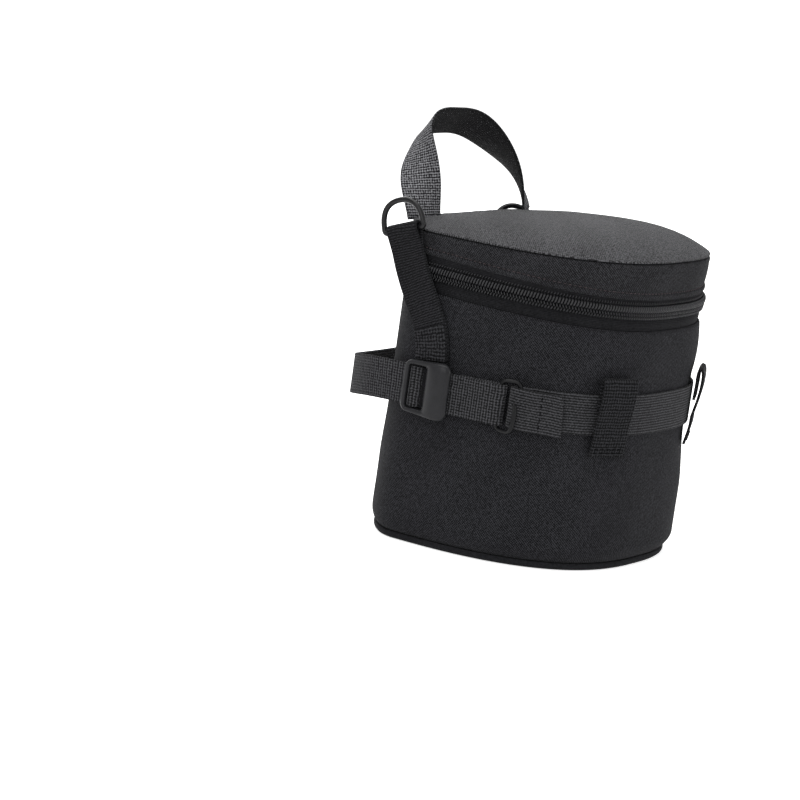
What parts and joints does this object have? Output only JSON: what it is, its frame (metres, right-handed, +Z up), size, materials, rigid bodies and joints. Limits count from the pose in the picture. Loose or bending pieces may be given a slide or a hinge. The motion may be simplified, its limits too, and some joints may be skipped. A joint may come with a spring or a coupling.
{
  "type": "lens pouch",
  "caption": "Padded D-shaped lens pouch with a zipped lid, webbing handle, two D-ring tabs and a waist strap with a ladder buckle and wire hook.",
  "frame": {"origin": "on the base, midway between the rounded front and the flat back, and midway across", "axes": "+Z up, -Y towards the rounded front, +Y towards the flat back, -X towards the side with the buckle"},
  "size_m": [0.1738, 0.1545, 0.2062],
  "materials": {
    "shell_cloth": "twill weave",
    "trim_cloth": "plain weave",
    "inner_cloth": "brushed",
    "padding": "foam",
    "band_cloth": "ribbed webbing",
    "coil_nylon": "satin",
    "moulded": "satin",
    "black_metal": "gloss black"
  },
  "bodies": {
    "case": {"base_panel": "shell_cloth", "base_board": "padding", "base_piping": "trim_cloth", "front_wall": "shell_cloth", "back_panel": "shell_cloth", "front_foam": "padding", "back_foam": "padding", "lining": "inner_cloth", "mouth_binding": "trim_cloth", "hinge_strip": "trim_cloth", "lower_zip_tape": "trim_cloth", "lower_zip_coil": "coil_nylon", "waist_strap": "band_cloth", "adjuster_strap": "band_cloth", "left_attachment_loop": "band_cloth", "right_attachment_loop": "band_cloth", "left_ring_tab": "band_cloth", "right_ring_tab": "band_cloth"},
    "lid": {"lid_top": "shell_cloth", "lid_band": "band_cloth", "lid_foam": "padding", "lid_band_foam": "padding", "lid_lining": "inner_cloth", "upper_zip_tape": "trim_cloth", "upper_zip_coil": "coil_nylon"},
    "handle": {"handle": "band_cloth"},
    "left_ring": {"left_d_ring": "black_metal"},
    "right_ring": {"right_d_ring": "black_metal"},
    "slider": {"zip_slider": "black_metal"},
    "pull": {"zip_pull": "moulded"},
    "buckle": {"ladder_buckle": "moulded"},
    "hook": {"g_hook": "black_metal"}
  },
  "joints": [
    {"name": "lid_hinge", "type": "hinge", "parent": "case", "child": "lid", "pos_m": [0, 0.065, 0.1522], "axis": [-1, 0, 0], "range_deg": [0, 100]},
    {"name": "handle_hinge", "type": "hinge", "parent": "lid", "child": "handle", "pos_m": [0, 0.0575, 0.1574], "axis": [1, 0, 0], "range_deg": [-52, 20]},
    {"name": "left_ring_hinge", "type": "hinge", "parent": "case", "child": "left_ring", "pos_m": [-0.08295, 0.04498, 0.15026], "axis": [0, -0.9354, 0.3535], "range_deg": [-50, 110]},
    {"name": "right_ring_hinge", "type": "hinge", "parent": "case", "child": "right_ring", "pos_m": [0.06121, 0.0654, 0.13965], "axis": [-0.3924, 0.232, -0.8901], "range_deg": [-10, 110]},
    {"name": "zip_slide", "type": "slide", "parent": "case", "child": "slider", "axis": [-0.0395, -0.9988, -0.0295], "range_m": [0, 0.02]},
    {"name": "pull_hinge", "type": "hinge", "parent": "slider", "child": "pull", "pos_m": [0.08499, 0.02751, 0.13229], "axis": [0.0395, 0.9988, 0.0295], "range_deg": [0, 160]},
    {"name": "buckle_slide", "type": "slide", "parent": "case", "child": "buckle", "axis": [0, -1, 0], "range_m": [0, 0.01]},
    {"name": "hook_hinge", "type": "hinge", "parent": "case", "child": "hook", "pos_m": [-0.07743, -0.01734, 0.0775], "axis": [0, 0, 1], "range_deg": [-4, 2]}
  ]
}
